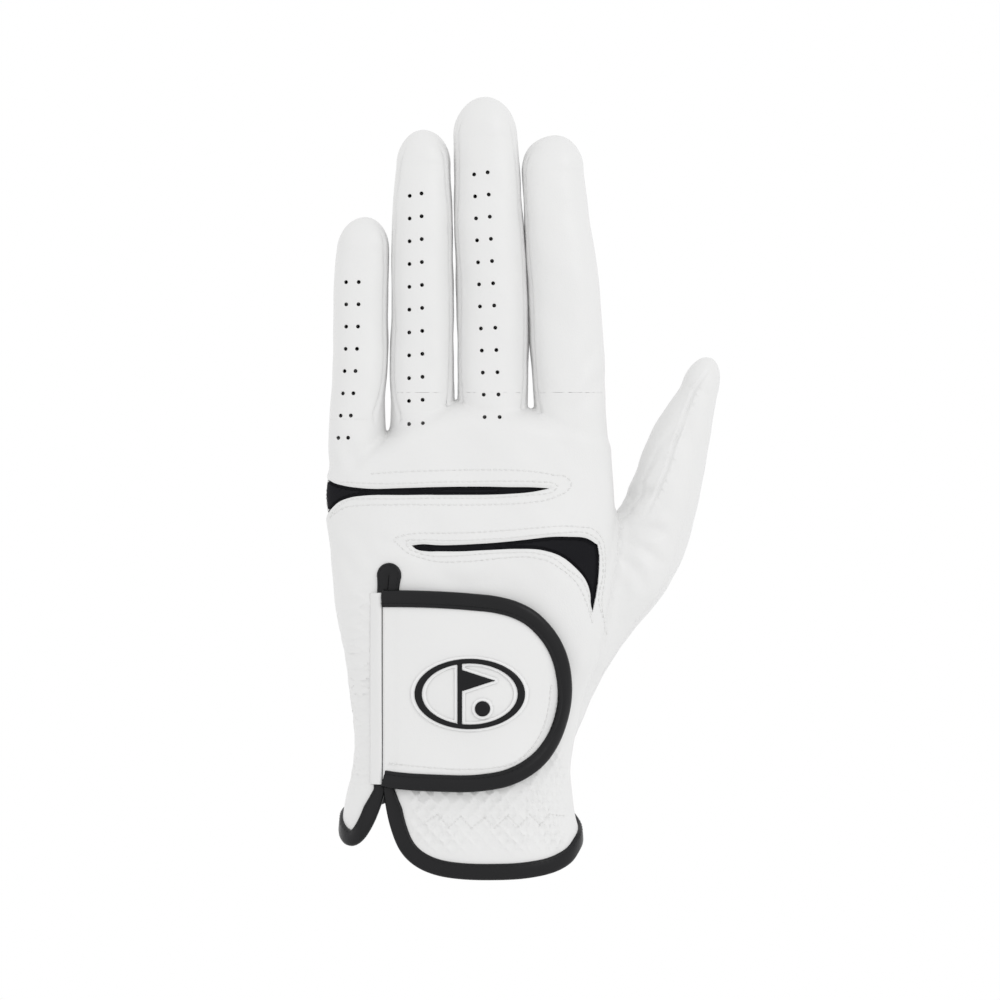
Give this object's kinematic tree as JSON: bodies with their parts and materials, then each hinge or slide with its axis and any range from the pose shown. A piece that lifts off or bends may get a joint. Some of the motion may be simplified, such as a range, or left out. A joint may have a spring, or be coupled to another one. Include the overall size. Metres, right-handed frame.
{
  "type": "golf glove",
  "caption": "Left-hand golf glove of thin leather panels with stretch inserts, strip-sided fingers, an elastic cuff and a hook-and-loop tab over a bound slit.",
  "frame": {"origin": "middle of the wrist opening, level with the lowest point of the hem", "axes": "+Z from the wrist to the fingertips, -Y out of the back of the hand, +Y out of the palm, +X to the thumb side"},
  "size_m": [0.1185, 0.0445, 0.2334],
  "materials": {
    "white_leather": "soft satin",
    "black_stretch_cloth": "matte",
    "black_binding": "satin",
    "elastic": "matte",
    "loop_cloth": "matte",
    "hook_plastic": "matte",
    "suede_lining": "matte",
    "badge_rubber": "satin",
    "label_cloth": "matte"
  },
  "bodies": {
    "hand": {"back_hem_binding": "black_binding", "back_leather": "white_leather", "cuff_elastic": "elastic", "little_ring_web": "white_leather", "loop_patch": "loop_cloth", "lower_stretch_insert": "black_stretch_cloth", "middle_index_web": "white_leather", "palm_elastic": "elastic", "palm_hem_binding": "black_binding", "palm_leather": "white_leather", "ring_middle_web": "white_leather", "side_elastic": "elastic", "size_label": "label_cloth", "tab_anchor": "white_leather", "thumb_base": "white_leather", "upper_stretch_insert": "black_stretch_cloth"},
    "tab": {"hook_patch": "hook_plastic", "tab_badge": "badge_rubber", "tab_binding": "black_binding", "tab_leather": "white_leather", "tab_lining": "suede_lining"},
    "little_proximal": {"little_proximal_ring_fourchette": "white_leather", "little_proximal_wrap": "white_leather"},
    "little_distal": {"little_distal_ring_fourchette": "white_leather", "little_distal_wrap": "white_leather"},
    "ring_proximal": {"ring_proximal_back": "white_leather", "ring_proximal_little_fourchette": "white_leather", "ring_proximal_middle_fourchette": "white_leather", "ring_proximal_palm": "white_leather"},
    "ring_distal": {"ring_distal_back": "white_leather", "ring_distal_little_fourchette": "white_leather", "ring_distal_middle_fourchette": "white_leather", "ring_distal_palm": "white_leather"},
    "middle_proximal": {"middle_proximal_back": "white_leather", "middle_proximal_index_fourchette": "white_leather", "middle_proximal_palm": "white_leather", "middle_proximal_ring_fourchette": "white_leather"},
    "middle_distal": {"middle_distal_back": "white_leather", "middle_distal_index_fourchette": "white_leather", "middle_distal_palm": "white_leather", "middle_distal_ring_fourchette": "white_leather"},
    "index_proximal": {"index_proximal_middle_fourchette": "white_leather", "index_proximal_wrap": "white_leather"},
    "index_distal": {"index_distal_middle_fourchette": "white_leather", "index_distal_wrap": "white_leather"},
    "thumb_proximal": {"thumb_proximal_back": "white_leather", "thumb_proximal_palm": "white_leather"},
    "thumb_distal": {"thumb_distal_back": "white_leather", "thumb_distal_palm": "white_leather"}
  },
  "joints": [
    {"name": "tab_hinge", "type": "hinge", "parent": "hand", "child": "tab", "pos_m": [-0.0232, -0.0182, 0.055], "axis": [0, 0, -1], "range_deg": [0, 150]},
    {"name": "little_knuckle", "type": "hinge", "parent": "hand", "child": "little_proximal", "pos_m": [-0.0309, 0.00875, 0.13285], "axis": [-1, 0, 0], "range_deg": [0, 80]},
    {"name": "little_middle_joint", "type": "hinge", "parent": "little_proximal", "child": "little_distal", "pos_m": [-0.0309, 0.00895, 0.15888], "axis": [-1, 0, 0], "range_deg": [0, 90]},
    {"name": "ring_knuckle", "type": "hinge", "parent": "hand", "child": "ring_proximal", "pos_m": [-0.011, 0.00985, 0.13935], "axis": [-1, 0, 0], "range_deg": [0, 80]},
    {"name": "ring_middle_joint", "type": "hinge", "parent": "ring_proximal", "child": "ring_distal", "pos_m": [-0.011, 0.00993, 0.17326], "axis": [-1, 0, 0], "range_deg": [0, 90]},
    {"name": "middle_knuckle", "type": "hinge", "parent": "hand", "child": "middle_proximal", "pos_m": [0.01, 0.01045, 0.13935], "axis": [-1, 0, 0], "range_deg": [0, 80]},
    {"name": "middle_middle_joint", "type": "hinge", "parent": "middle_proximal", "child": "middle_distal", "pos_m": [0.01, 0.01053, 0.1771], "axis": [-1, 0, 0], "range_deg": [0, 90]},
    {"name": "index_knuckle", "type": "hinge", "parent": "hand", "child": "index_proximal", "pos_m": [0.0327, 0.01055, 0.13935], "axis": [-1, 0, 0], "range_deg": [0, 80]},
    {"name": "index_middle_joint", "type": "hinge", "parent": "index_proximal", "child": "index_distal", "pos_m": [0.0327, 0.0106, 0.1727], "axis": [-1, 0, 0], "range_deg": [0, 90]},
    {"name": "thumb_knuckle", "type": "hinge", "parent": "hand", "child": "thumb_proximal", "pos_m": [0.05946, 0.02225, 0.10686], "axis": [-0.9613, 0, 0.2756], "range_deg": [0, 50]},
    {"name": "thumb_tip_joint", "type": "hinge", "parent": "thumb_proximal", "child": "thumb_distal", "pos_m": [0.0668, 0.02045, 0.1315], "axis": [-0.9563, 0, 0.2924], "range_deg": [0, 60]}
  ]
}
